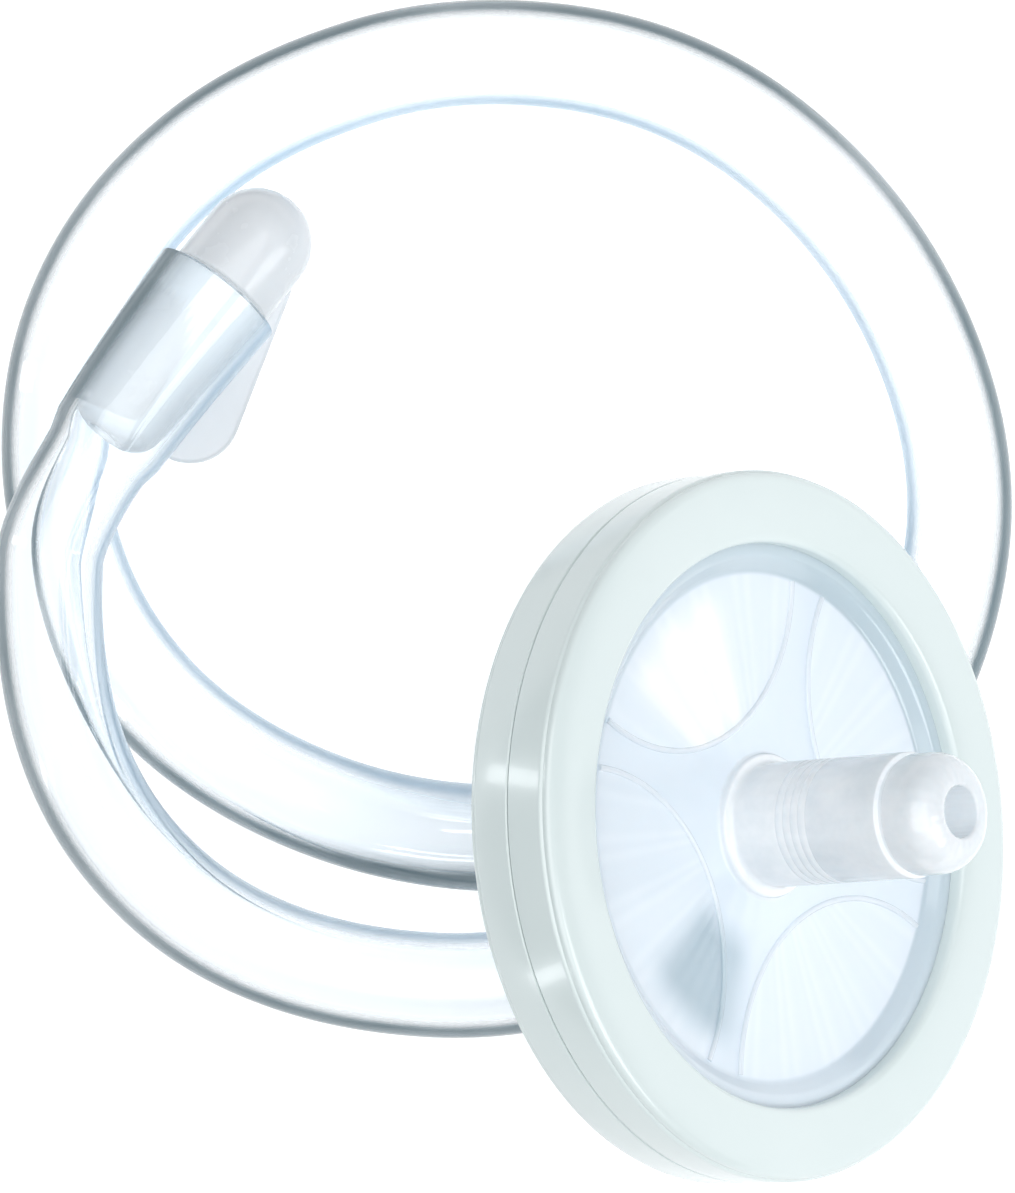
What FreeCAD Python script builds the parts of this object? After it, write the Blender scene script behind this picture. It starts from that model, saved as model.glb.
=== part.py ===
import FreeCAD, Part
import math
import os
from FreeCAD import Placement, Rotation, Vector

# Disc-shaped in-line air filter with a clear hose and a capped connector, in millimetres.
# Origin at the middle of the disc, +Z up, hose lying on the surface at z = -surfaceDrop.

# Filter disc
discDiameter = 64.0
discThickness = 9.5
openingDiameter = 50.8
lipThickness = 1.45
skirtWall = 3.0
rimFillet = 1.5
lipFillet = 0.6
tongueWidth = 0.6
tongueDepth = 0.8
tongueGap = 0.05

# Covers
flangeGap = 0.2
windowRecess = 2.5
windowWall = 1.2
stepWidth = 2.3
stepRun = 1.2
stackGap = 0.6
sealLand = 6.4
ribCount = 24
ribWidth = 0.8
petalCount = 4
petalTurn = 25.0
petalReach = 26.3
petalRadius = 16.9
petalDepth = 0.3

# Hose nozzles
bossStep = 0.9
bossHeight = 0.7
bossFillet = 0.4
nozzleDiameter = 11.2
nozzleReach = 20.0
tipDiameter = 10.8
tipLength = 4.8
grooveDiameter = 10.2
grooveWidth = 0.6
noseFillet = 2.8
boreDiameter = 4.6
portDiameter = 10.8
portReach = 10.0

# Filter layers, from the inlet side to the outlet side
membraneDiameter = 52.0
layerThickness = 0.2
sealWidth = 2.4
sealGap = 0.3

# Free-end connector and its cap
spigotDiameter = 10.8
spigotTipDiameter = 8.6
spigotLength = 17.5
spigotBore = 3.0
spigotNose = 2.6
shoulderThickness = 0.5
pinDiameter = 7.0
pinLength = 5.5
capDiameter = 10.4
capGap = 0.05
capDomeStart = 5.5
socketDepth = 6.0
capFillet = 0.3
tabDrop = 7.0
tabThickness = 1.2
tabNarrow = 5.2
tabWide = 9.6
tabStart = (2.6, 5.0)
tabEnd = (4.6, -9.2)
tabFillet = 0.4
neckWidth = 4.0
neckLength = 5.0

# Hose
hoseDiameter = 10.0
hoseBore = 7.0
hoseStart = 2.5
noseGrip = 0.8
flareTaper = 2.0

# The filter leans on the hose: its axis stands this far from upright and this far round from +X.
axisTilt = 47.675
axisTurn = 6.21
surfaceDrop = 36.5

# Hose route, from the outlet port down to the surface, once round, over itself, to the connector.
route = [
    (-5.33, -0.58, -4.88),
    (-19.51, -2.12, -17.88),
    (-33.1, -1.2, -27.1),
    (-45.6, 3.4, -31.0),
    (-55.4, 10.6, -31.5),
    (-62.3, 20.8, -31.5),
    (-65.3, 32.8, -31.5),
    (-63.8, 46.2, -31.5),
    (-57.0, 58.2, -31.5),
    (-45.0, 67.8, -31.5),
    (-26.2, 73.7, -31.5),
    (-4.0, 70.4, -31.5),
    (13.4, 55.8, -31.5),
    (22.3, 35.3, -31.5),
    (20.2, 16.3, -31.5),
    (10.2, 0.2, -31.5),
    (-3.6, -11.0, -31.5),
    (-20.6, -16.6, -31.5),
    (-36.4, -15.8, -31.3),
    (-49.0, -11.2, -29.2),
    (-57.8, -3.2, -25.2),
    (-62.8, 6.6, -20.9),
    (-64.6, 18.2, -18.2),
    (-63.8, 30.0, -16.8),
    (-48.8, 49.3, -22.0),
]
arcShare = 0.45

# Sizes that follow from those above
discRadius = discDiameter / 2
openingRadius = openingDiameter / 2
half = discThickness / 2
pocketRadius = discRadius - skirtWall
flangeRadius = pocketRadius - flangeGap
lipUnder = half - lipThickness
windowLevel = half - windowRecess
windowRadius = openingRadius - stepWidth
stackHalf = stackGap / 2
chamberRadius = flangeRadius - sealLand
portTip = half + portReach
nozzleTip = half + nozzleReach
bossRadius = nozzleDiameter / 2 + bossStep
boreRadius = boreDiameter / 2
hoseRadius = hoseDiameter / 2
hoseSection = math.pi * (hoseRadius**2 - (hoseBore / 2) ** 2)


def filterPlacement():
    tilt, turn = math.radians(axisTilt), math.radians(axisTurn)
    axis = Vector(math.sin(tilt) * math.cos(turn), math.sin(tilt) * math.sin(turn), math.cos(tilt))
    across = Vector(0, 1, 0).cross(axis)
    return Placement(Vector(), Rotation(across, axis.cross(across), axis, "ZXY"))


def revolved(outline):
    """A solid of revolution about Z from an outline of (radius, height) corners."""
    corners = [Vector(r, 0, h) for r, h in outline]
    face = Part.Face(Part.makePolygon(corners + corners[:1]))
    return face.revolve(Vector(), Vector(0, 0, 1), 360)


def ring(outer, inner, low, high):
    return revolved([(inner, low), (outer, low), (outer, high), (inner, high)])


def disc(radius, low, high):
    return Part.makeCylinder(radius, high - low, Vector(0, 0, low))


def roundRims(solid, size, rims):
    """Fillets the circular edges that have these (radius, height) values."""
    def listed(edge):
        curve = edge.Curve
        if not isinstance(curve, Part.Circle):
            return False
        return any(abs(curve.Radius - r) < 1e-4 and abs(curve.Center.z - h) < 1e-4 for r, h in rims)
    return solid.makeFillet(size, [e for e in solid.Edges if listed(e)])


def flipped(solid):
    """The same piece on the outlet side: turned half round about Y."""
    return solid.rotated(Vector(), Vector(0, 1, 0), 180)


def ringHalf():
    body = revolved([
        (pocketRadius, 0), (discRadius, 0), (discRadius, half),
        (openingRadius, half), (openingRadius, lipUnder), (pocketRadius, lipUnder),
    ])
    body = roundRims(body, rimFillet, [(discRadius, half)])
    return roundRims(body, lipFillet, [(openingRadius, half)])


def tongueRadii(gap):
    middle = (discRadius + pocketRadius) / 2
    return middle + tongueWidth / 2 + gap, middle - tongueWidth / 2 - gap


def frontRing():
    outer, inner = tongueRadii(0)
    return ringHalf().fuse(ring(outer, inner, -tongueDepth, 0)).removeSplitter()


def backRing():
    outer, inner = tongueRadii(tongueGap)
    return flipped(ringHalf()).cut(ring(outer, inner, -tongueDepth - tongueGap, 0))


def coverShell(rootRadius, tip, groove):
    """One milky cover: clamped flange, stepped border, window, boss and hollow nozzle."""
    outline = [(boreRadius, tip)]
    tipRadius = rootRadius
    if groove:
        tipRadius = tipDiameter / 2
        low = tip - tipLength
        outline += [
            (tipRadius, tip), (tipRadius, low), (grooveDiameter / 2, low),
            (grooveDiameter / 2, low - grooveWidth), (rootRadius, low - grooveWidth),
        ]
    else:
        outline += [(tipRadius, tip)]
    bossLevel = windowLevel + bossHeight
    outline += [
        (rootRadius, bossLevel), (bossRadius, bossLevel), (bossRadius, windowLevel),
        (windowRadius, windowLevel), (windowRadius + stepRun, lipUnder), (flangeRadius, lipUnder),
        (flangeRadius, stackHalf), (chamberRadius, stackHalf),
        (chamberRadius, windowLevel - windowWall), (boreRadius, windowLevel - windowWall),
    ]
    shell = roundRims(revolved(outline), noseFillet, [(tipRadius, tip)])
    shell = roundRims(shell, bossFillet, [(rootRadius, bossLevel)])
    return shell


def ribs():
    """Radial ribs that hold the filter layers off the window."""
    low, high = stackHalf, windowLevel - windowWall
    start = bossRadius
    blade = Part.makeBox(chamberRadius - start + 0.2, ribWidth, high - low + 0.1, Vector(start, -ribWidth / 2, low))
    up = Vector(0, 0, 1)
    return [blade.rotated(Vector(), up, 360 * k / ribCount) for k in range(ribCount)]


def petals():
    """Sunk fields in the window, each bounded by an arc that bows towards the middle."""
    field = disc(windowRadius - 0.4, windowLevel - petalDepth, windowLevel + 0.1)
    made = []
    for k in range(petalCount):
        turn = math.radians(petalTurn + 360 * k / petalCount)
        centre = Vector(petalReach * math.cos(turn), petalReach * math.sin(turn), windowLevel - 1)
        made.append(field.common(Part.makeCylinder(petalRadius, 2, centre)))
    return made


def cover(rootRadius, tip, groove):
    shell = coverShell(rootRadius, tip, groove).cut(Part.makeCompound(petals()))
    return shell.fuse(ribs()).removeSplitter()


def filterLayer(place):
    """One layer of the stack: place 1 is the inlet side, 0 the middle and -1 the outlet side."""
    middle = place * layerThickness
    return disc(membraneDiameter / 2, middle - layerThickness / 2, middle + layerThickness / 2)


def sealRing():
    inner = membraneDiameter / 2 + sealGap
    return ring(inner + sealWidth, inner, -stackHalf, stackHalf)


def endPlacement(start, towards):
    """Puts a piece modelled along Z at start, pointing towards a second point, its Y downwards."""
    axis = (towards - start).normalize()
    side = axis.cross(Vector(0, 0, 1)).normalize()
    return Placement(start, Rotation(side, axis.cross(side), axis, "ZXY"))


def stretched(radius):
    """Outer radius of the hose where its bore is stretched to this radius."""
    return math.sqrt(radius**2 + hoseRadius**2 - (hoseBore / 2) ** 2)


def flare(grip, rimDiameter, tipDiameter):
    """The hose end, stretched over a spigot that reaches grip into it, and its taper to the hose."""
    rim, bend, end = rimDiameter / 2, grip - noseGrip, grip + flareTaper
    neck = (tipDiameter + (rimDiameter - tipDiameter) * noseGrip / grip) / 2
    return revolved([
        (rim, 0), (stretched(rim), 0), (stretched(neck), bend),
        (hoseRadius, end), (hoseBore / 2, end), (neck, bend),
    ]), end


def bends(points):
    """For each inner point of the route: where its arc starts, its middle, its end and its radius."""
    found = []
    for before, here, after in zip(points, points[1:], points[2:]):
        back, ahead = before - here, after - here
        reach = arcShare * min(back.Length, ahead.Length)
        back, ahead = back.normalize(), ahead.normalize()
        halfTurn = (math.pi - back.getAngle(ahead)) / 2
        radius = reach / math.tan(halfTurn)
        middle = here + (back + ahead).normalize() * (radius / math.cos(halfTurn) - radius)
        found.append((here + back * reach, middle, here + ahead * reach, radius))
    return found


def hosePath(points, startTrim, endTrim):
    """Straight runs joined by tangent arcs, without the lengths that the flared ends take."""
    first = points[0] + (points[1] - points[0]).normalize() * startTrim
    last = points[-1] + (points[-2] - points[-1]).normalize() * endTrim
    edges, at = [], first
    for start, middle, end, radius in bends(points):
        edges.append(Part.LineSegment(at, start).toShape())
        edges.append(Part.Arc(start, middle, end).toShape())
        at = end
    edges.append(Part.LineSegment(at, last).toShape())
    return Part.Wire(edges), first, (points[1] - points[0]).normalize()


def sweep(path, start, direction, radius):
    profile = Part.Wire(Part.makeCircle(radius, start, direction))
    solid = path.makePipeShell([profile], True, False)
    return solid.reversed() if solid.Volume < 0 else solid


def tubing():
    points = [Vector(*p) for p in route]
    atPort, portEnd = flare(portReach - hoseStart, portDiameter, portDiameter)
    atSpigot, spigotEnd = flare(spigotLength, spigotDiameter, spigotTipDiameter)
    path, start, direction = hosePath(points, portEnd, spigotEnd)
    body = sweep(path, start, direction, hoseRadius).cut(sweep(path, start, direction, hoseBore / 2))
    radii = [round(b[3], 1) for b in bends(points)]
    print("hose bend radii, mm:", radii)
    print("hose volume over section times length:", round(body.Volume / (hoseSection * path.Length), 4))
    print("hose length, mm:", round(path.Length + portEnd + spigotEnd, 1))
    atPort.Placement = endPlacement(points[0], points[1])
    atSpigot.Placement = endPlacement(points[-1], points[-2])
    return body.fuse([atPort, atSpigot]).removeSplitter()


def connector():
    """Modelled along Z: the tapered hose spigot below zero, the shoulder at zero, the pin above it."""
    shoulder, tip = shoulderThickness, shoulderThickness + pinLength
    bore, nose = spigotBore / 2, spigotTipDiameter / 2
    body = revolved([
        (bore, -spigotLength), (nose, -spigotLength), (spigotDiameter / 2, 0), (spigotDiameter / 2, shoulder),
        (pinDiameter / 2, shoulder), (pinDiameter / 2, tip), (bore, tip),
    ])
    return roundRims(body, spigotNose, [(nose, -spigotLength)])


def tabBlade():
    """The pull tab: a flat strap that widens away from the cap, below and beside the hose end."""
    start, end = Vector(tabStart[0], tabDrop, tabStart[1]), Vector(tabEnd[0], tabDrop, tabEnd[1])
    small, large = tabNarrow / 2, tabWide / 2
    along, down = Vector(end - start), Vector(0, 1, 0)
    lean = math.asin((small - large) / along.Length)
    along.normalize()
    across = along.cross(down)
    left = along * math.sin(lean) + across * math.cos(lean)
    right = along * math.sin(lean) - across * math.cos(lean)
    outline = Part.Wire([
        Part.LineSegment(start + left * small, end + left * large).toShape(),
        Part.Arc(end + left * large, end + along * large, end + right * large).toShape(),
        Part.LineSegment(end + right * large, start + right * small).toShape(),
        Part.Arc(start + right * small, start - along * small, start + left * small).toShape(),
    ])
    blade = Part.Face(outline).extrude(down * tabThickness)
    return blade.makeFillet(tabFillet, blade.Edges)


def cap():
    """Domed cap over the pin, with a short neck down to its pull tab."""
    mouth = shoulderThickness + capGap
    radius = capDiameter / 2
    skirt = Part.makeCylinder(radius, capDomeStart, Vector(0, 0, mouth))
    skirt = roundRims(skirt, capFillet, [(radius, mouth)])
    dome = Part.makeSphere(radius, Vector(0, 0, mouth + capDomeStart))
    top = pinDiameter / 4
    neck = Part.makeBox(
        neckWidth, tabDrop + tabThickness / 2 - top, neckLength,
        Vector(tabStart[0] - neckWidth / 2, top, mouth + capFillet),
    )
    socket = Part.makeCylinder(pinDiameter / 2 + capGap, socketDepth, Vector(0, 0, mouth))
    return skirt.fuse([dome, neck, tabBlade()]).cut(socket).removeSplitter()


def build():
    onDisc = filterPlacement()
    rim, before = Vector(*route[-1]), Vector(*route[-2])
    onHose = endPlacement(rim, rim * 2 - before)
    inlet = cover(nozzleDiameter / 2, nozzleTip, True)
    outlet = flipped(cover(portDiameter / 2, portTip, False))
    filterPieces = {
        "front_ring": frontRing(),
        "back_ring": backRing(),
        "inlet_cover": inlet,
        "outlet_cover": outlet,
        "prefilter_layer": filterLayer(1),
        "membrane": filterLayer(0),
        "backing_layer": filterLayer(-1),
        "seal_ring": sealRing(),
    }
    pieces = {name: shape.transformed(onDisc.toMatrix()) for name, shape in filterPieces.items()}
    pieces["tubing"] = tubing()
    pieces["end_connector"] = connector().transformed(onHose.toMatrix())
    pieces["end_cap"] = cap().transformed(onHose.toMatrix())
    return pieces


os.makedirs("parts", exist_ok=True)
for name, shape in build().items():
    solid = shape.Solids[0] if len(shape.Solids) == 1 else shape
    print(name, "valid" if solid.isValid() else "NOT VALID", len(shape.Solids), round(solid.Volume, 2))
    solid.exportStep("parts/" + name + ".step")
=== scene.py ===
import bpy
import bmesh
import math
from mathutils import Matrix, Vector


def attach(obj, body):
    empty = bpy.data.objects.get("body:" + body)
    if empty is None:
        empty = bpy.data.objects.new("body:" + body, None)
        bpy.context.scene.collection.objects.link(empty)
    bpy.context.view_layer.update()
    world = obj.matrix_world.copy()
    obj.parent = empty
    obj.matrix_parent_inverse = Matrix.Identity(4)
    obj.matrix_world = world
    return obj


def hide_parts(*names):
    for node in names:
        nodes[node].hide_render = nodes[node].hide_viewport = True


# In-line disc air filter: white welded ring, milky covers with hollow nozzles, clear hose with a capped end.
# Lengths are in millimetres in the dictionaries and turned to metres where a mesh is made.

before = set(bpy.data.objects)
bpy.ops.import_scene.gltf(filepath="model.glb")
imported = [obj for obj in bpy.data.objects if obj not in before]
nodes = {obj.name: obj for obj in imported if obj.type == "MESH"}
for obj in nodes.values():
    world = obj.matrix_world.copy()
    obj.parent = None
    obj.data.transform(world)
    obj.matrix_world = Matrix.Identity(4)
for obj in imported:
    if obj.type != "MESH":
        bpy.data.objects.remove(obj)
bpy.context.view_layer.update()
mm = 0.001


# ---- camera, looking straight down on the part

cameraSettings = {"place": (-21.6, 20.8, 563.5), "lens": 188.5}


def addCamera(settings):
    data = bpy.data.cameras.new("camera")
    data.lens = settings["lens"]
    data.clip_start, data.clip_end = 0.01, 20
    camera = bpy.data.objects.new("camera", data)
    camera.location = Vector(settings["place"]) * mm
    bpy.context.scene.collection.objects.link(camera)
    bpy.context.scene.camera = camera


addCamera(cameraSettings)
print("camera placed")


# ---- hose line

hoseSize = {
    "outside": 5.0, "bore": 3.5,
    "stretchedOutside": 6.45, "stretchedBore": 5.42, "noseOutside": 5.58, "noseBore": 4.33,
    "portGrip": 7.5, "spigotGrip": 17.5, "taper": 3.0, "lead": 0.4,
    "station": 0.6, "segments": 48, "length": 0.388, "diameter": 0.010,
}

# route from the outlet port, down to the surface, once round, over itself and to the connector
hoseRoute = [
    (-5.33, -0.58, -4.88),
    (-19.51, -2.12, -17.88),
    (-33.1, -1.2, -27.1),
    (-45.6, 3.4, -31.0),
    (-55.4, 10.6, -31.5),
    (-62.3, 20.8, -31.5),
    (-65.3, 32.8, -31.5),
    (-63.8, 46.2, -31.5),
    (-57.0, 58.2, -31.5),
    (-45.0, 67.8, -31.5),
    (-26.2, 73.7, -31.5),
    (-4.0, 70.4, -31.5),
    (13.4, 55.8, -31.5),
    (22.3, 35.3, -31.5),
    (20.2, 16.3, -31.5),
    (10.2, 0.2, -31.5),
    (-3.6, -11.0, -31.5),
    (-20.6, -16.6, -31.5),
    (-36.4, -15.8, -31.3),
    (-49.0, -11.2, -29.2),
    (-57.8, -3.2, -25.2),
    (-62.8, 6.6, -20.9),
    (-64.6, 18.2, -18.2),
    (-63.8, 30.0, -16.8),
    (-48.8, 49.3, -22.0),
]


def readLine(route):
    curve = bpy.data.curves.new("hoseLine", "CURVE")
    curve.dimensions = "3D"
    curve.resolution_u = 16
    spline = curve.splines.new("NURBS")
    spline.points.add(len(route) - 1)
    for point, place in zip(spline.points, route):
        point.co = (*(Vector(place) * mm), 1)
    spline.order_u = 3
    spline.use_endpoint_u = True
    line = bpy.data.objects.new("hoseLine", curve)
    bpy.context.scene.collection.objects.link(line)
    bpy.context.view_layer.update()
    mesh = bpy.data.meshes.new_from_object(line)
    points = [v.co.copy() for v in mesh.vertices]
    bpy.data.objects.remove(line)
    return points


def lengths(points):
    run = [0.0]
    for a, b in zip(points, points[1:]):
        run.append(run[-1] + (b - a).length)
    return run


def standings(points):
    # a frame at every point, turned as little as possible from one to the next
    placed, side = [], None
    for i, point in enumerate(points):
        ahead = points[min(i + 1, len(points) - 1)] - points[max(i - 1, 0)]
        ahead.normalize()
        side = ahead.orthogonal() if side is None else side - ahead * side.dot(ahead)
        side.normalize()
        up = ahead.cross(side)
        turn = Matrix((side, up, ahead)).transposed().to_4x4()
        placed.append(Matrix.Translation(point) @ turn)
    return placed


def ease(t):
    t = min(max(t, 0.0), 1.0)
    return t * t * (3 - 2 * t)


def finishMesh(bm, name, material, placement=None, sharp=35):
    if placement is not None:
        bmesh.ops.transform(bm, matrix=placement, verts=bm.verts)
    bmesh.ops.recalc_face_normals(bm, faces=bm.faces)
    for face in bm.faces:
        face.smooth = True
    for edge in bm.edges:
        edge.smooth = len(edge.link_faces) < 2 or edge.calc_face_angle(0) < math.radians(sharp)
    mesh = bpy.data.meshes.new(name)
    bm.to_mesh(mesh)
    bm.free()
    piece = bpy.data.objects.new(name, mesh)
    bpy.context.scene.collection.objects.link(piece)
    mesh.materials.append(material)
    return piece


def makeHose(size, points, materials):
    run = lengths(points)
    whole = run[-1] / mm
    places = standings(points)

    def swell(at):
        # 1 where the hose is stretched over the port or the spigot, 0 along the free hose
        nearPort = 1 - ease((at - size["portGrip"] + size["lead"]) / size["taper"])
        nearSpigot = 1 - ease((whole - at - size["spigotGrip"] + size["lead"]) / size["taper"])
        return nearPort, nearSpigot

    def radii(at):
        # the spigot is tapered, so the hose narrows towards its nose
        nearPort, nearSpigot = swell(at)
        narrow = min(max((whole - at) / size["spigotGrip"], 0), 1)
        outer = size["stretchedOutside"] + (size["noseOutside"] - size["stretchedOutside"]) * narrow
        inner = size["stretchedBore"] + (size["noseBore"] - size["stretchedBore"]) * narrow
        outer = size["outside"] + (outer - size["outside"]) * nearSpigot
        inner = size["bore"] + (inner - size["bore"]) * nearSpigot
        outer += (size["stretchedOutside"] - size["outside"]) * nearPort
        inner += (size["stretchedBore"] - size["bore"]) * nearPort
        return outer, inner

    keep = [0]
    for i in range(1, len(points)):
        if run[i] - run[keep[-1]] > size["station"] * mm or i == len(points) - 1:
            keep.append(i)
    outside, inside = [], []
    for i in keep:
        outer, inner = radii(run[i] / mm)
        outside.append(places[i] @ Matrix.Scale(outer * mm, 4))
        inside.append(places[i] @ Matrix.Scale(inner * mm, 4))
    stations = outside + inside[::-1]
    bm = bmesh.new()
    bmesh.ops.create_circle(bm, segments=size["segments"], radius=1)
    bmesh.ops.transform(bm, matrix=stations[0], verts=bm.verts)
    first = ring = bm.edges[:]
    for before, now in zip(stations, stations[1:]):
        made = bmesh.ops.extrude_edge_only(bm, edges=ring)["geom"]
        ring = [g for g in made if isinstance(g, bmesh.types.BMEdge)]
        verts = [g for g in made if isinstance(g, bmesh.types.BMVert)]
        bmesh.ops.transform(bm, matrix=now @ before.inverted(), verts=verts)
    bmesh.ops.bridge_loops(bm, edges=first + ring)
    hose = finishMesh(bm, "hose", materials[0], sharp=40)
    for material in materials[1:]:
        hose.data.materials.append(material)
    # faces run along the outside, then round the cut rim, then back along the bore
    rim = (len(outside) - 1) * size["segments"]
    for face in hose.data.polygons:
        face.material_index = 0 if face.index < rim else 2 if face.index < rim + size["segments"] else 1
    return hose


# ---- shader helpers

class Value:
    # one socket of a material, with the arithmetic that the finishes use
    def __init__(self, tree, socket):
        self.tree, self.socket = tree, socket

    def math(self, operation, *others, **settings):
        return self.node("ShaderNodeMath", {"operation": operation, **settings}, self, *others)

    def node(self, kind, settings, *inputs, output=0, **named):
        made = self.tree.nodes.new(kind)
        for key, setting in settings.items():
            if key == "stops":
                ramp = made.color_ramp
                while len(ramp.elements) < len(setting):
                    ramp.elements.new(0.5)
                for element, (place, colour) in zip(ramp.elements, setting):
                    element.position, element.color = place, colour
            else:
                setattr(made, key, setting)
        wired = list(enumerate(inputs)) + [(k.replace("_", " "), v) for k, v in named.items()]
        for key, value in wired:
            if value is None:
                continue
            if isinstance(value, Value):
                self.tree.links.new(value.socket, made.inputs[key])
            else:
                made.inputs[key].default_value = value
        return Value(self.tree, made.outputs[output])

    def __add__(self, other): return self.math("ADD", other)
    def __sub__(self, other): return self.math("SUBTRACT", other)
    def __mul__(self, other): return self.math("MULTIPLY", other)
    def __truediv__(self, other): return self.math("DIVIDE", other)
    def __radd__(self, other): return self.math("ADD", other)
    def __rmul__(self, other): return self.math("MULTIPLY", other)
    def __rsub__(self, other):
        return self.node("ShaderNodeMath", {"operation": "SUBTRACT"}, other, self)

    def clamped(self): return self.math("ADD", 0.0, use_clamp=True)
    def between(self, low, high):
        smooth = {"interpolation_type": "SMOOTHSTEP"}
        return self.node("ShaderNodeMapRange", smooth, self, low, high, 0.0, 1.0)


class Finish:
    # a Principled material; constants go straight on the shader's sockets
    def __init__(self, name, **fixed):
        self.material = bpy.data.materials.new(name)
        self.material.use_nodes = True
        self.tree = self.material.node_tree
        self.shader = self.tree.nodes["Principled BSDF"]
        for key, value in fixed.items():
            self.shader.inputs[key.replace("_", " ")].default_value = value
        coordinates = self.tree.nodes.new("ShaderNodeTexCoord")
        self.place = Value(self.tree, coordinates.outputs["Object"])

    def split(self, vector):
        made = self.tree.nodes.new("ShaderNodeSeparateXYZ")
        self.tree.links.new(vector.socket, made.inputs[0])
        return [Value(self.tree, output) for output in made.outputs]

    def noise(self, scale, detail=3.0, roughness=0.5):
        return self.place.node(
            "ShaderNodeTexNoise", {}, Vector=self.place, Scale=scale, Detail=detail, Roughness=roughness)

    def blend(self, amount, first, second):
        first = first if isinstance(first, Value) else (*first, 1)
        second = second if isinstance(second, Value) else (*second, 1)
        made = self.tree.nodes.new("ShaderNodeMix")
        made.data_type = "RGBA"
        for key, value in ((0, amount), (6, first), (7, second)):
            if isinstance(value, Value):
                self.tree.links.new(value.socket, made.inputs[key])
            else:
                made.inputs[key].default_value = value
        return Value(self.tree, made.outputs[2])

    def bump(self, height, strength, distance):
        made = height.node("ShaderNodeBump", {}, Strength=strength, Distance=distance, Height=height)
        self.give("Normal", made)

    def give(self, key, value):
        self.tree.links.new(value.socket, self.shader.inputs[key])


# ---- the disc's own axes

discLean = {"tilt": 47.675, "turn": 6.21}


def discPlacement(lean):
    tilt, turn = math.radians(lean["tilt"]), math.radians(lean["turn"])
    axis = Vector((math.sin(tilt) * math.cos(turn), math.sin(tilt) * math.sin(turn), math.cos(tilt)))
    across = Vector((0, 1, 0)).cross(axis).normalized()
    return Matrix((across, axis.cross(across), axis)).transposed().to_4x4()


onDisc = discPlacement(discLean)


def endPlacement(route):
    rim, before = Vector(route[-1]), Vector(route[-2])
    axis = (rim - before).normalized()
    side = axis.cross(Vector((0, 0, 1))).normalized()
    return Matrix.Translation(rim * mm) @ Matrix((side, axis.cross(side), axis)).transposed().to_4x4()


onHose = endPlacement(hoseRoute)


# ---- finishes

def whitePlastic():
    finish = Finish("whitePlastic", Roughness=0.2, IOR=1.49, Coat_Weight=0.35, Coat_Roughness=0.08)
    cloud = finish.noise(60, 2)
    finish.give("Base Color", finish.blend(cloud, (0.70, 0.785, 0.775), (0.745, 0.815, 0.805)))
    finish.give("Roughness", finish.noise(900, 2) * 0.08 + 0.17)
    finish.bump(finish.noise(2600, 2), 0.05, 0.00005)
    return finish.material


# where the cover's colours change: pairs of millimetres for the soft borders, degrees for the wedges
coverPattern = {
    "frontSide": (0, 0.2), "window": (22.6, 23.1), "nozzle": (6.2, 7.0), "petalEdge": (-0.3, 0.1),
    # the 45 degrees give the side where the recess wall's painted shade is darkest
    "rays": 24, "fineRays": 72, "wallShadeToward": 45, "wedgeSoftness": 4,
    # the first wedge is a painted highlight on one petal, the second a painted shade on another
    "paintedHighlightWedge": (122, 26, 8, 23), "paintedShadeWedge": (-126, 24, 9, 22.5),
}
coverColours = {
    "pale": (0.70, 0.77, 0.84), "cloudy": (0.80, 0.86, 0.92), "bright": (0.86, 0.91, 0.96),
    # white is the colour of the painted highlight
    "white": (1.0, 1.0, 1.0),
    # dark is the colour of the painted shade on a lower petal; wall is the painted shade on the recess wall,
    # darkest towards one side
    "dark": (0.42, 0.52, 0.58), "wall": (0.50, 0.60, 0.65),
    "nozzle": (0.77, 0.81, 0.84), "nozzleCloud": (0.90, 0.92, 0.94),
}


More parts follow.
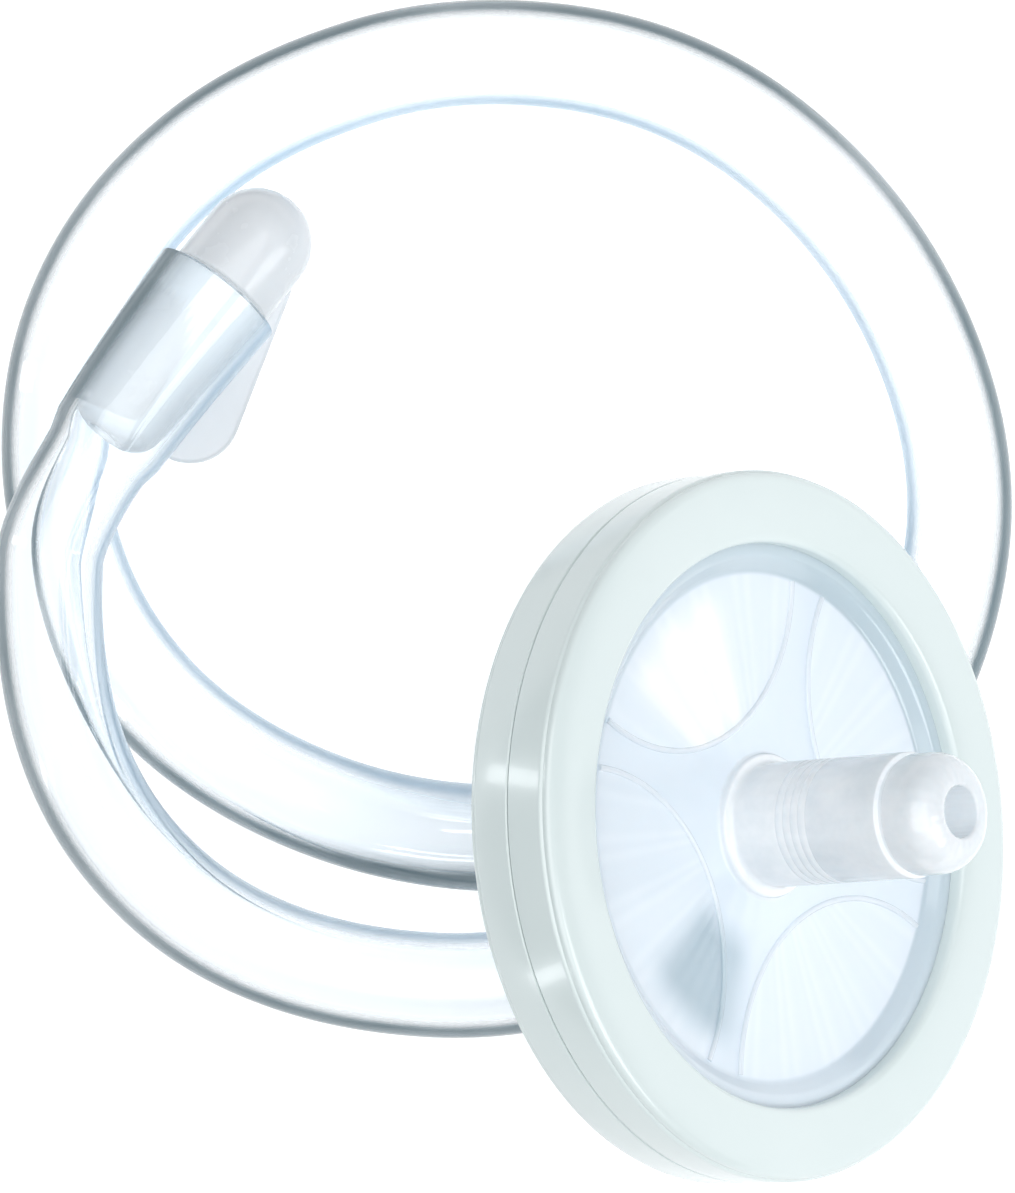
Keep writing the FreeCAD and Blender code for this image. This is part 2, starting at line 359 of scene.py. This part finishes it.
def milkyCover(petals, pattern, colours):
    finish = Finish("milkyCover", IOR=1.49, Coat_Weight=0.3, Coat_Roughness=0.05,
                    Subsurface_Weight=0.35, Subsurface_Scale=0.002, Subsurface_Radius=(0.8, 0.95, 1.0))
    turned = onDisc.inverted().to_euler()
    place = finish.place.node("ShaderNodeMapping", {}, Vector=finish.place, Rotation=turned)
    x, y, z = finish.split(place)
    reach = (x * x + y * y).math("SQRT")
    angle = y.math("ARCTAN2", x)
    front = z.between(*(h * mm for h in pattern["frontSide"]))
    innerEdge, outerEdge = ((petals["radius"] + h) * mm for h in pattern["petalEdge"])
    field = None
    for k in range(petals["count"]):
        turn = math.radians(petals["turn"] + 360 * k / petals["count"])
        cx, cy = petals["reach"] * mm * math.cos(turn), petals["reach"] * mm * math.sin(turn)
        away = ((x - cx) * (x - cx) + (y - cy) * (y - cy)).math("SQRT")
        inside = 1 - away.between(innerEdge, outerEdge)
        field = inside if field is None else field.math("MAXIMUM", inside)
    onWindow = 1 - reach.between(*(r * mm for r in pattern["window"]))
    onNozzle = 1 - reach.between(*(r * mm for r in pattern["nozzle"]))
    field = field * onWindow
    rays = (angle * pattern["rays"]).math("SINE") * 0.5 + 0.5
    fineRays = (angle * pattern["fineRays"]).math("SINE") * 0.5 + 0.5
    cloud = finish.noise(180, 4)
    streaks = finish.noise(70, 5, 0.65)

    def wedge(middle, half, low, high):
        # a patch of the window between two angles and two radii, soft at its edges; it places the painted
        # highlight and the painted shade
        soft = pattern["wedgeSoftness"]
        aside = (angle - math.radians(middle)).math("ABSOLUTE")
        inside = 1 - aside.between(math.radians(half * 0.4), math.radians(half))
        inside = inside * reach.between(low * mm, (low + soft) * mm)
        return inside * (1 - reach.between((high - soft) * mm, high * mm)) * front

    paintedHighlightWedge, paintedShadeWedge = wedge(*pattern["paintedHighlightWedge"]), wedge(*pattern["paintedShadeWedge"])
    # weight towards the side where the recess wall's painted shade is darkest
    wallShadeToward = (angle - math.radians(pattern["wallShadeToward"])).math("COSINE") * 0.5 + 0.5
    colour = finish.blend(streaks * 0.6, colours["pale"], colours["cloudy"])
    for amount, key in (
        (field * (0.18 + rays * fineRays * streaks * 0.5), "bright"),
        # the white patch is a painted highlight
        (paintedHighlightWedge * field * (0.55 + rays * 0.45), "white"),
        # the dark patch is a painted shade on a lower petal
        (paintedShadeWedge * (0.55 + field * 0.2 + streaks * 0.4), "dark"),
        # painted shade on the recess wall between ring and window, strongest towards one side
        ((1 - onWindow) * (0.10 + wallShadeToward * 0.75 + cloud * 0.15), "wall"),
    ):
        colour = finish.blend(amount, colour, colours[key])
    mottled = finish.blend(streaks.between(0.35, 0.65), colours["nozzle"], colours["nozzleCloud"])
    colour = finish.blend(onNozzle, colour, mottled)
    finish.give("Base Color", colour)
    finish.give("Roughness", cloud * 0.1 + 0.14)
    relief = rays * onWindow * 0.5 + fineRays * field * 0.35 + cloud * 0.2
    finish.bump(relief, 0.25, 0.0002)
    return finish.material


def clearHose(loopMiddle):
    # tinted towards its edges, with a dark grey-blue edge line mixed in at grazing angles: a painted
    # reflection of dark surroundings in the clear PVC, with painted shade by side, darker on the outside of
    # the bend and pale blue inside it
    finish = Finish("clearHose", IOR=1.45, Transmission_Weight=1.0)
    facing = finish.place.node("ShaderNodeLayerWeight", {}, Blend=0.5, output=1)
    geometry = finish.tree.nodes.new("ShaderNodeNewGeometry")
    nx, ny, _ = finish.split(Value(finish.tree, geometry.outputs["Normal"]))
    x, y, _ = finish.split(finish.place)
    outX, outY = x - loopMiddle[0] * mm, y - loopMiddle[1] * mm
    outward = (nx * outX + ny * outY) / (outX * outX + outY * outY + 0.0001).math("SQRT")
    outer = outward.between(-0.35, 0.5)
    cloud = finish.noise(28, 3, 0.6)
    wide, narrow = facing.between(0.08, 0.50), facing.between(0.20, 0.62)
    finish.give("Base Color", finish.blend(facing.between(0.2, 0.9), (0.985, 0.993, 1.0), (0.86, 0.92, 0.96)))
    finish.give("Roughness", finish.noise(120, 2) * 0.03 + 0.01)
    finish.bump(finish.noise(35, 2), 0.02, 0.0003)
    # a dull dark shader mixed in at grazing angles: the painted edge line
    edge = finish.tree.nodes.new("ShaderNodeBsdfPrincipled")
    edge.inputs["Roughness"].default_value = 0.25
    edge.inputs["Coat Weight"].default_value = 0.2
    paintedEdgeShade = finish.blend(outer, (0.42, 0.58, 0.72), (0.10, 0.165, 0.195))
    finish.tree.links.new(paintedEdgeShade.socket, edge.inputs["Base Color"])
    amount = ((narrow * (1 - outer) * 0.95 + wide * wide * outer) * (0.5 + cloud * 0.95)).clamped()
    body, rim = (Value(finish.tree, shader.outputs[0]) for shader in (finish.shader, edge))
    mixed = amount.node("ShaderNodeMixShader", {}, amount, body, rim)
    surface = finish.tree.nodes["Material Output"].inputs["Surface"]
    finish.tree.links.new(mixed.socket, surface)
    return finish.material


def clearHoseBore():
    finish = Finish("clearHoseBore", IOR=1.45, Transmission_Weight=1.0)
    cloud = finish.noise(28, 3, 0.6)
    finish.give("Base Color", finish.blend(cloud, (0.97, 0.985, 1.0), (0.90, 0.95, 0.985)))
    finish.give("Roughness", cloud * 0.03 + 0.01)
    return finish.material


def milkyEnd(name, colour, transmission):
    finish = Finish(name, IOR=1.49, Transmission_Weight=transmission, Coat_Weight=0.2, Coat_Roughness=0.1,
                    Subsurface_Weight=0.3, Subsurface_Scale=0.002, Subsurface_Radius=(0.85, 0.95, 1.0))
    cloud = finish.noise(220, 4)
    finish.give("Base Color", finish.blend(cloud, colour, tuple(c * 0.94 for c in colour)))
    finish.give("Roughness", cloud * 0.12 + 0.2)
    finish.bump(finish.noise(1500, 2), 0.06, 0.0001)
    return finish.material


def plainLayer(name, colour, scale, depth):
    finish = Finish(name, Roughness=0.8)
    weave = finish.noise(scale, 3)
    finish.give("Base Color", finish.blend(weave, colour, tuple(c * 0.9 for c in colour)))
    finish.bump(weave, 0.4, depth)
    return finish.material


# ---- turned pieces

def lathe(name, corners, placement, material, steps=144, closed=True, sharp=35):
    # corners are (radius, height, rounding); the wire is rounded first and then spun
    bm = bmesh.new()
    verts = [bm.verts.new((r * mm, 0, h * mm)) for r, h, _ in corners]
    pairs = list(zip(verts, verts[1:])) + ([(verts[-1], verts[0])] if closed else [])
    for a, b in pairs:
        bm.edges.new((a, b))
    for vert, (_, _, rounding) in zip(verts, corners):
        if rounding:
            segments = 8 if rounding > 1 else 4
            bmesh.ops.bevel(bm, geom=[vert], offset=rounding * mm, offset_type="OFFSET", segments=segments,
                            profile=0.5, affect="VERTICES", material=-1)
    bmesh.ops.spin(bm, geom=bm.verts[:] + bm.edges[:], cent=(0, 0, 0), axis=(0, 0, 1),
                   angle=2 * math.pi, steps=steps, use_merge=True)
    bmesh.ops.remove_doubles(bm, verts=bm.verts, dist=1e-7)
    return finishMesh(bm, name, material, placement, sharp)


ringSize = {
    "outside": 32.0, "opening": 25.4, "pocket": 29.0, "half": 4.75, "lipUnder": 3.3,
    "seam": 0.05, "seamEdge": 0.12,
    "wallTop": 3.85, "stepTop": 4.0, "stepIn": 0.25, "faceIn": 0.15, "faceRounding": 1.0,
}
coverSize = {
    "bore": 2.3, "tip": 24.75, "tipRadius": 5.4, "root": 5.6,
    "groove": 5.1, "grooveLow": 19.35, "grooveHigh": 19.95,
    "boss": 6.5, "bossTop": 2.95, "window": 2.25, "windowRadius": 23.1,
    "step": 24.3, "flange": 28.8, "flangeTop": 3.3,
    "under": 0.3, "chamber": 22.4, "ceiling": 1.05, "portTip": 14.75, "portRadius": 5.4,
    "fineGrooves": 5, "fineStart": 7.9, "finePitch": 0.86, "fineHalf": 0.25, "fineDepth": 0.12,
}
petalSize = {"count": 4, "turn": 25.0, "reach": 26.3, "radius": 16.9, "bead": 0.28, "sweep": 59.0}


def makeRing(name, size, placement, material):
    outside, seam, chamfer = size["outside"], size["seam"], size["seamEdge"]
    return lathe(name, [
        (size["pocket"], seam, 0), (outside - chamfer, seam, 0), (outside, seam + chamfer, 0),
        (outside, size["wallTop"], 0.2), (outside - size["stepIn"], size["stepTop"], 0.1),
        (outside - size["faceIn"], size["half"], size["faceRounding"]),
        (size["opening"], size["half"], 0.6), (size["opening"], size["lipUnder"], 0),
        (size["pocket"], size["lipUnder"], 0),
    ], placement, material, steps=192)


def makeCover(name, size, front, placement, material):
    # fine V-shaped grooves round the nozzle, from the top one down
    grooves = []
    for k in reversed(range(size["fineGrooves"])):
        level = size["fineStart"] + k * size["finePitch"]
        grooves += [
            (size["root"], level + size["fineHalf"], 0), (size["root"] - size["fineDepth"], level, 0),
            (size["root"], level - size["fineHalf"], 0),
        ]
    nozzle = [
        (size["bore"], size["tip"], 0.3), (size["tipRadius"], size["tip"], 2.8),
        (size["tipRadius"], size["grooveHigh"], 0.1), (size["groove"], size["grooveHigh"], 0.1),
        (size["groove"], size["grooveLow"], 0.1), (size["root"], size["grooveLow"], 0.15),
        *grooves, (size["root"], size["bossTop"], 0.6),
    ] if front else [
        (size["bore"], size["portTip"], 0.3), (size["portRadius"], size["portTip"], 2.8),
        (size["portRadius"], size["bossTop"], 0.6),
    ]
    plate = [
        (size["boss"], size["bossTop"], 0.4), (size["boss"], size["window"], 0.3),
        (size["windowRadius"], size["window"], 0.3), (size["step"], size["flangeTop"], 0.3),
        (size["flange"], size["flangeTop"], 0), (size["flange"], size["under"], 0),
        (size["chamber"], size["under"], 0), (size["chamber"], size["ceiling"], 0),
        (size["bore"], size["ceiling"], 0),
    ]
    return lathe(name, nozzle + plate, placement, material)


def makeBeads(name, size, level, placement, material):
    # thin moulded arcs that bow towards the nozzle, one to each petal, and a bead round the boss
    bm = bmesh.new()
    for k in range(size["count"]):
        turn = math.radians(size["turn"] + 360 * k / size["count"])
        middle = Vector((math.cos(turn), math.sin(turn), 0)) * size["reach"] * mm + Vector((0, 0, level * mm))
        sweep = math.radians(size["sweep"])
        start = turn + math.pi - sweep
        made = bmesh.ops.create_circle(bm, segments=10, radius=size["bead"] * mm, cap_ends=False)["verts"]
        bmesh.ops.rotate(bm, verts=made, cent=(0, 0, 0), matrix=Matrix.Rotation(math.pi / 2, 3, "X"))
        bmesh.ops.translate(bm, verts=made, vec=(size["radius"] * mm, 0, 0))
        bmesh.ops.rotate(bm, verts=made, cent=(0, 0, 0), matrix=Matrix.Rotation(start, 3, "Z"))
        bmesh.ops.translate(bm, verts=made, vec=middle)
        edges = list({e for v in made for e in v.link_edges})
        bmesh.ops.spin(bm, geom=made + edges, cent=middle, axis=(0, 0, 1), angle=2 * sweep, steps=60,
                       use_merge=False)
    bmesh.ops.holes_fill(bm, edges=[e for e in bm.edges if e.is_boundary], sides=0)
    return finishMesh(bm, name, material, placement, 60)


connectorSize = {
    "bore": 1.5, "spigot": 5.4, "spigotTip": 4.3, "spigotLength": 17.5, "shoulder": 0.5,
    "pin": 3.5, "tip": 6.0, "nose": 2.6,
}
capSize = {
    "radius": 5.2, "mouth": 0.55, "top": 11.25, "socket": 3.55, "socketDepth": 6.0,
    "tabLevel": 7.0, "tabThickness": 1.2, "tabNarrow": 2.6, "tabWide": 4.8,
    "tabStart": (2.6, 5.0), "tabEnd": (4.6, -9.2), "rounding": 0.4,
    "neck": 4.0, "neckLength": 5.0, "neckLow": 0.95, "neckMiddle": 5.9, "neckDepth": 4.0,
}


def makeConnector(size, placement, material):
    return lathe("connector", [
        (size["bore"], -size["spigotLength"], 0.3), (size["spigotTip"], -size["spigotLength"], size["nose"]),
        (size["spigot"], 0, 0), (size["spigot"], size["shoulder"], 0.15),
        (size["pin"], size["shoulder"], 0.1),
        (size["pin"], size["tip"], 0.4), (size["bore"], size["tip"], 0.2),
    ], placement, material, steps=96)


def makeCap(size, placement, material):
    floor = size["mouth"] + size["socketDepth"]
    radius = size["radius"]
    dome = lathe("capDome", [
        (0, size["top"], 0), (radius, size["top"], radius - 0.06), (radius, size["mouth"], 0.3),
        (size["socket"], size["mouth"], 0.15), (size["socket"], floor, 0.3), (0, floor, 0),
    ], placement, material, steps=96, closed=False)
    bm = bmesh.new()
    discs = []
    for (x, z), reach in ((size["tabStart"], size["tabNarrow"]), (size["tabEnd"], size["tabWide"])):
        verts = bmesh.ops.create_circle(bm, segments=40, radius=reach * mm)["verts"]
        bmesh.ops.rotate(bm, verts=verts, cent=(0, 0, 0), matrix=Matrix.Rotation(math.pi / 2, 3, "X"))
        bmesh.ops.translate(bm, verts=verts, vec=Vector((x, size["tabLevel"], z)) * mm)
        discs += verts
    hull = bmesh.ops.convex_hull(bm, input=discs)
    inner = [g for g in hull["geom_interior"] + hull["geom_unused"] if isinstance(g, bmesh.types.BMVert)]
    bmesh.ops.delete(bm, geom=inner, context="VERTS")
    bmesh.ops.dissolve_limit(bm, angle_limit=0.02, verts=bm.verts, edges=bm.edges, delimit=set())
    keep = bm.faces[:1]
    bmesh.ops.delete(bm, geom=bm.faces[1:], context="FACES_KEEP_BOUNDARY")
    thick = bmesh.ops.extrude_face_region(bm, geom=keep)["geom"]
    moved = [g for g in thick if isinstance(g, bmesh.types.BMVert)]
    bmesh.ops.translate(bm, verts=moved, vec=(0, size["tabThickness"] * mm, 0))
    rounded = {"offset": size["rounding"] * mm, "offset_type": "OFFSET", "segments": 4, "profile": 0.5,
               "affect": "EDGES", "material": -1}
    bmesh.ops.bevel(bm, geom=[e for e in bm.edges if e.calc_face_angle(0) > 1], **rounded)
    # the neck between the cap's skirt and the strap
    neck = Vector((size["neck"], size["neckDepth"], size["neckLength"])) * mm
    middle = Vector((size["tabStart"][0], size["neckMiddle"], size["neckLow"] + size["neckLength"] / 2)) * mm
    shape = Matrix.Translation(middle) @ Matrix.Diagonal(neck).to_4x4()
    made = bmesh.ops.create_cube(bm, size=1, matrix=shape)["verts"]
    bmesh.ops.bevel(bm, geom=list({e for v in made for e in v.link_edges}), **rounded)
    tab = finishMesh(bm, "capTab", material, placement, 50)
    return dome, tab


# ---- build

white = whitePlastic()
milky = milkyCover(petalSize, coverPattern, coverColours)
clear = clearHose((-21.7, 29.4))
clearBore = clearHoseBore()
# the hose's cut rim is drawn dark grey-blue: painted shade, like the hose's edge line
rimShadePlastic = milkyEnd("hoseRimShade", (0.24, 0.32, 0.37), 0.3)
# the connector, seen through the hose, is drawn greyer and darker than the cap: painted shade of the hose
# sleeve over it
sleeveShadedPlastic = milkyEnd("milkyConnectorShaded", (0.70, 0.745, 0.775), 0.0)
capPlastic = milkyEnd("milkyCap", (0.80, 0.825, 0.85), 0.0)

linePoints = readLine(hoseRoute)
hose = makeHose(hoseSize, linePoints, (clear, clearBore, rimShadePlastic))
print("hose made, length", round(lengths(linePoints)[-1], 4))

turnedBack = onDisc @ Matrix.Rotation(math.pi, 4, "Y")
frontRing = makeRing("frontRing", ringSize, onDisc, white)
backRing = makeRing("backRing", ringSize, turnedBack, white)
inletCover = makeCover("inletCover", coverSize, True, onDisc, milky)
outletCover = makeCover("outletCover", coverSize, False, turnedBack, milky)
inletBeads = makeBeads("inletBeads", petalSize, coverSize["window"], onDisc, milky)
outletBeads = makeBeads("outletBeads", petalSize, coverSize["window"], turnedBack, milky)
connector = makeConnector(connectorSize, onHose, sleeveShadedPlastic)
capDome, capTab = makeCap(capSize, onHose, capPlastic)
print("filter, connector and cap made")

# hidden layers keep their own shapes: name, colour, noise scale and depth of the weave in metres
for name, colour, scale, depth in (
    ("prefilter_layer", (0.93, 0.95, 0.97), 3000, 0.0002),
    ("membrane", (0.90, 0.94, 0.98), 6000, 0.0001),
    ("backing_layer", (0.92, 0.94, 0.96), 2000, 0.0002),
    ("seal_ring", (0.85, 0.87, 0.88), 800, 0.0001),
):
    nodes[name].data.materials.clear()
    nodes[name].data.materials.append(plainLayer(name + "Finish", colour, scale, depth))

standsFor = (
    (frontRing, "front_ring", "white_ring"), (backRing, "back_ring", "white_ring"),
    (inletCover, "inlet_cover", "milky_cover"), (outletCover, "outlet_cover", "milky_cover"),
    (hose, "tubing", "clear_hose"), (connector, "end_connector", "milky_connector"),
)
for piece, node, slot in standsFor:
    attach(piece, "filter")
    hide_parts(node)
for piece in (inletBeads, outletBeads):
    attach(piece, "filter")
for piece in (capDome, capTab):
    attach(piece, "cap")
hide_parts("end_cap")


# ---- floor, lights and surroundings

floorSettings = {"height": -36.55, "radius": 1600, "colour": (0.9, 0.9, 0.9), "glow": 0.4}
worldSettings = {
    "low": (0.0, (0.10, 0.15, 0.19, 1)), "high": (0.7, (0.9, 0.95, 1.0, 1)),
    "seen": (0.93, 0.95, 0.96, 1), "strength": 0.35,
}
lightSettings = (
    # name, place and size in metres, watts, colour; the two strips are aimed to glint on the ring's side wall
    ("overhead", (0, 0, 0.95), (1.1, 1.1), 7.5, (1, 1, 1)),
    ("leftStrip", (-0.948, 0.207, 0.11), (0.07, 0.30), 0.55, (0.95, 0.98, 1)),
    ("lowerStrip", (-0.778, -0.565, 0.06), (0.06, 0.22), 0.35, (0.95, 0.98, 1)),
    ("rightFill", (0.8, -0.3, 0.55), (0.5, 0.5), 3.4, (0.96, 0.98, 1)),
)


def makeFloor(settings):
    bm = bmesh.new()
    bmesh.ops.create_circle(bm, segments=96, radius=settings["radius"] * mm, cap_ends=True)
    bmesh.ops.translate(bm, verts=bm.verts, vec=(0, 0, settings["height"] * mm))
    finish = Finish("paleFloor", Roughness=0.9, Specular_IOR_Level=0.1)
    finish.shader.inputs["Base Color"].default_value = (*settings["colour"], 1)
    finish.shader.inputs["Emission Color"].default_value = (1, 1, 1, 1)
    finish.shader.inputs["Emission Strength"].default_value = settings["glow"]
    floor = finishMesh(bm, "floor", finish.material)


def addLight(name, place, size, watts, colour):
    data = bpy.data.lights.new(name, "AREA")
    data.shape = "RECTANGLE"
    data.size, data.size_y = size
    data.energy, data.color = watts, colour
    light = bpy.data.objects.new(name, data)
    light.location = place
    light.rotation_euler = (Vector((0, 0, 0)) - Vector(place)).to_track_quat("-Z", "Y").to_euler()
    light.visible_camera = False
    bpy.context.scene.collection.objects.link(light)


def makeWorld(settings):
    # a dark horizon for the clear hose to bend, and a plain backdrop where the camera sees past the floor
    world = bpy.data.worlds.new("studio")
    bpy.context.scene.world = world
    world.use_nodes = True
    tree = world.node_tree
    background = tree.nodes["Background"]
    coordinates = tree.nodes.new("ShaderNodeTexCoord")
    split = tree.nodes.new("ShaderNodeSeparateXYZ")
    tree.links.new(coordinates.outputs["Generated"], split.inputs[0])
    ramp = tree.nodes.new("ShaderNodeValToRGB")
    for element, key in zip(ramp.color_ramp.elements, ("low", "high")):
        element.position, element.color = settings[key]
    tree.links.new(split.outputs[2], ramp.inputs[0])
    seen = tree.nodes.new("ShaderNodeLightPath")
    mix = tree.nodes.new("ShaderNodeMix")
    mix.data_type = "RGBA"
    tree.links.new(seen.outputs["Is Camera Ray"], mix.inputs[0])
    tree.links.new(ramp.outputs[0], mix.inputs[6])
    mix.inputs[7].default_value = settings["seen"]
    tree.links.new(mix.outputs[2], background.inputs[0])
    background.inputs[1].default_value = settings["strength"]


makeFloor(floorSettings)
for light in lightSettings:
    addLight(*light)
makeWorld(worldSettings)
for piece in (hose, inletCover, outletCover, inletBeads, outletBeads, connector, capDome, capTab):
    piece.visible_shadow = False
bpy.context.scene.view_settings.view_transform = "Standard"
print("studio made")
